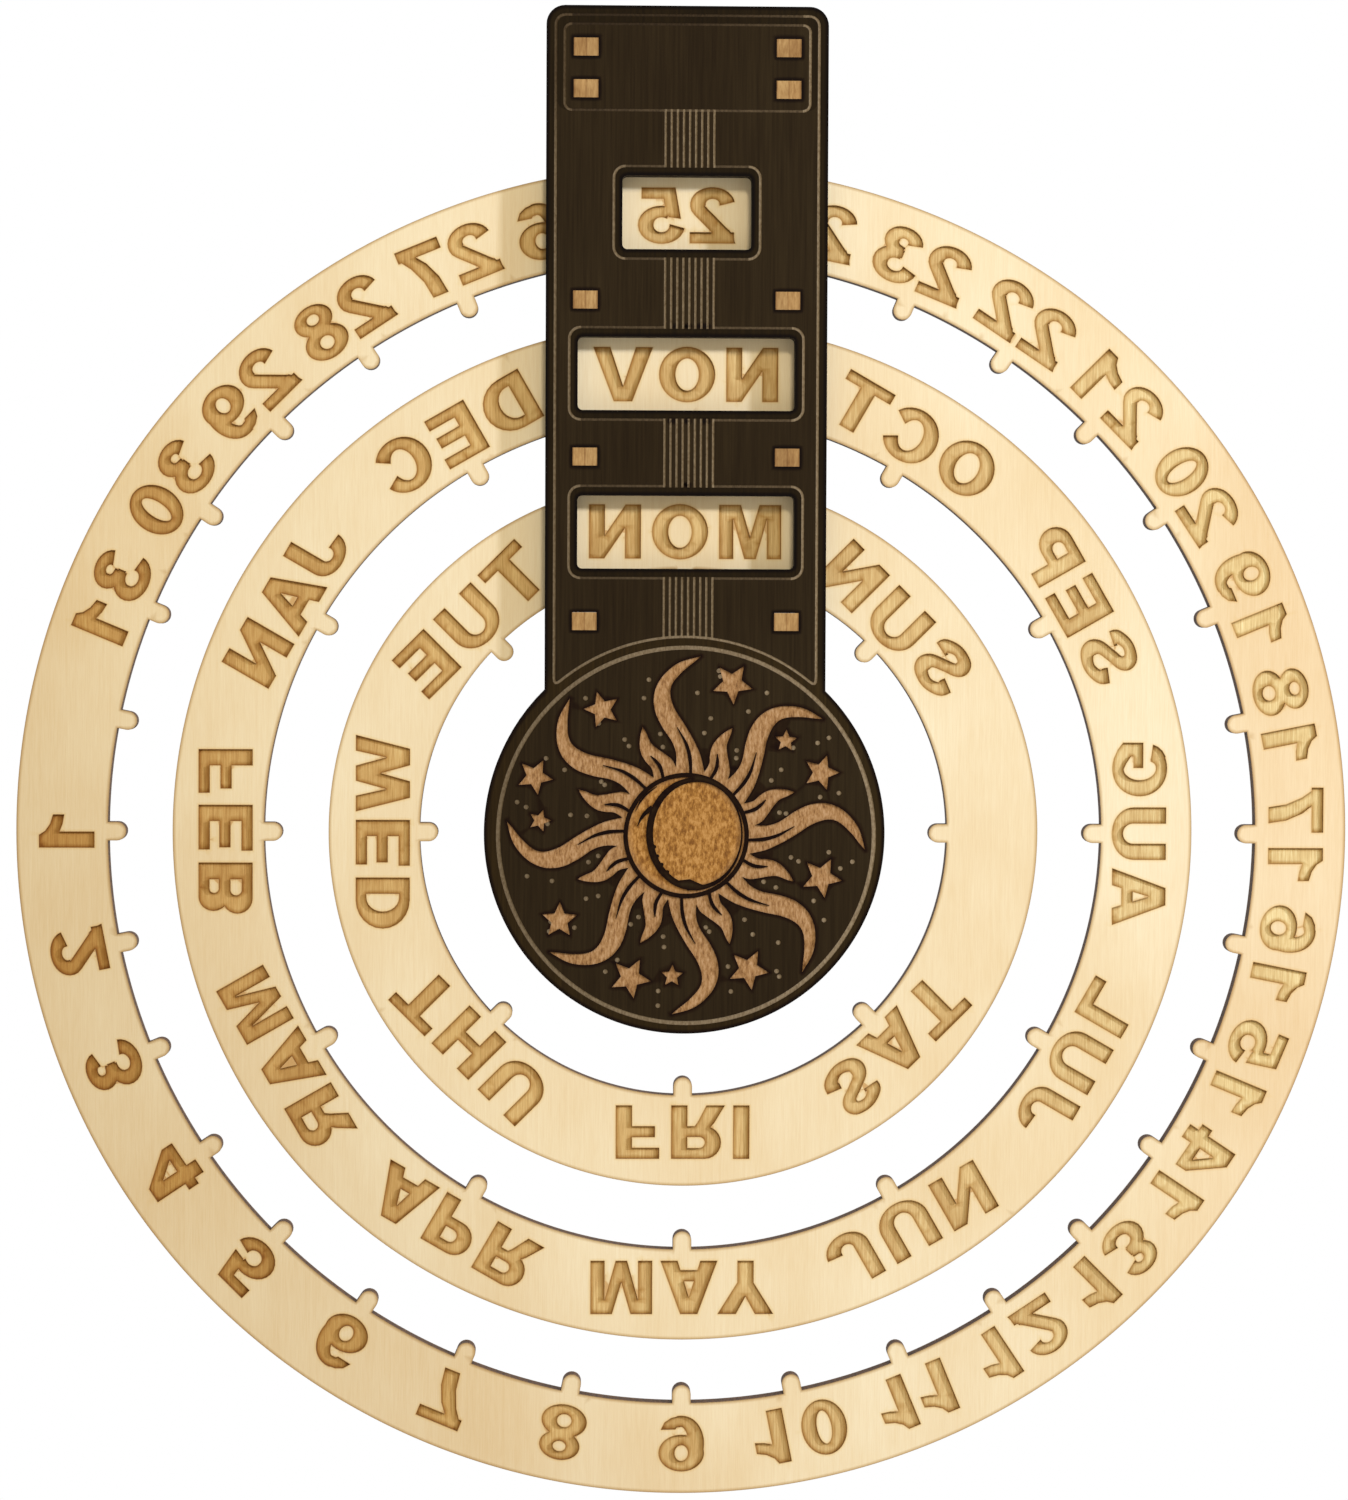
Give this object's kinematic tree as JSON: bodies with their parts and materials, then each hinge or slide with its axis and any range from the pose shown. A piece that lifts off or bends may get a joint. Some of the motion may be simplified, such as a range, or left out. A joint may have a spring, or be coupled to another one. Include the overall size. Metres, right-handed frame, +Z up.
{
  "type": "perpetual wall calendar",
  "caption": "Flat wall-hung perpetual calendar: concentric toothed wooden rings turn behind a tall windowed plate that ends in a round disc.",
  "frame": {"origin": "where the axis of the rings and of the disc meets the wall, on the back plate's rear face", "axes": "+X to the right as seen from the front, +Z up, +Y into the wall, so the front faces -Y"},
  "size_m": [0.3, 0.013, 0.3348],
  "materials": {
    "dark_ply": "near-black brown stain, satin",
    "raw_ply": "bare pale plywood, matte"
  },
  "bodies": {
    "frame": {"front_plate": "dark_ply", "back_plate": "dark_ply", "top_spacer": "raw_ply", "disc_spacer": "raw_ply", "date_saddle": "raw_ply", "month_saddle": "raw_ply", "day_saddle": "raw_ply", "top_rib_left": "raw_ply", "top_rib_right": "raw_ply", "date_rib_left": "raw_ply", "date_rib_right": "raw_ply", "month_rib_left": "raw_ply", "month_rib_right": "raw_ply", "day_rib_left": "raw_ply", "day_rib_right": "raw_ply"},
    "date": {"date_ring": "raw_ply"},
    "month": {"month_ring": "raw_ply"},
    "day": {"day_ring": "raw_ply"}
  },
  "joints": [
    {"name": "date_turn", "type": "hinge", "parent": "frame", "child": "date", "pos_m": [0, 0, 0], "axis": [0, -1, 0], "continuous": true},
    {"name": "month_turn", "type": "hinge", "parent": "frame", "child": "month", "pos_m": [0, 0, 0], "axis": [0, -1, 0], "continuous": true},
    {"name": "day_turn", "type": "hinge", "parent": "frame", "child": "day", "pos_m": [0, 0, 0], "axis": [0, -1, 0], "continuous": true}
  ]
}
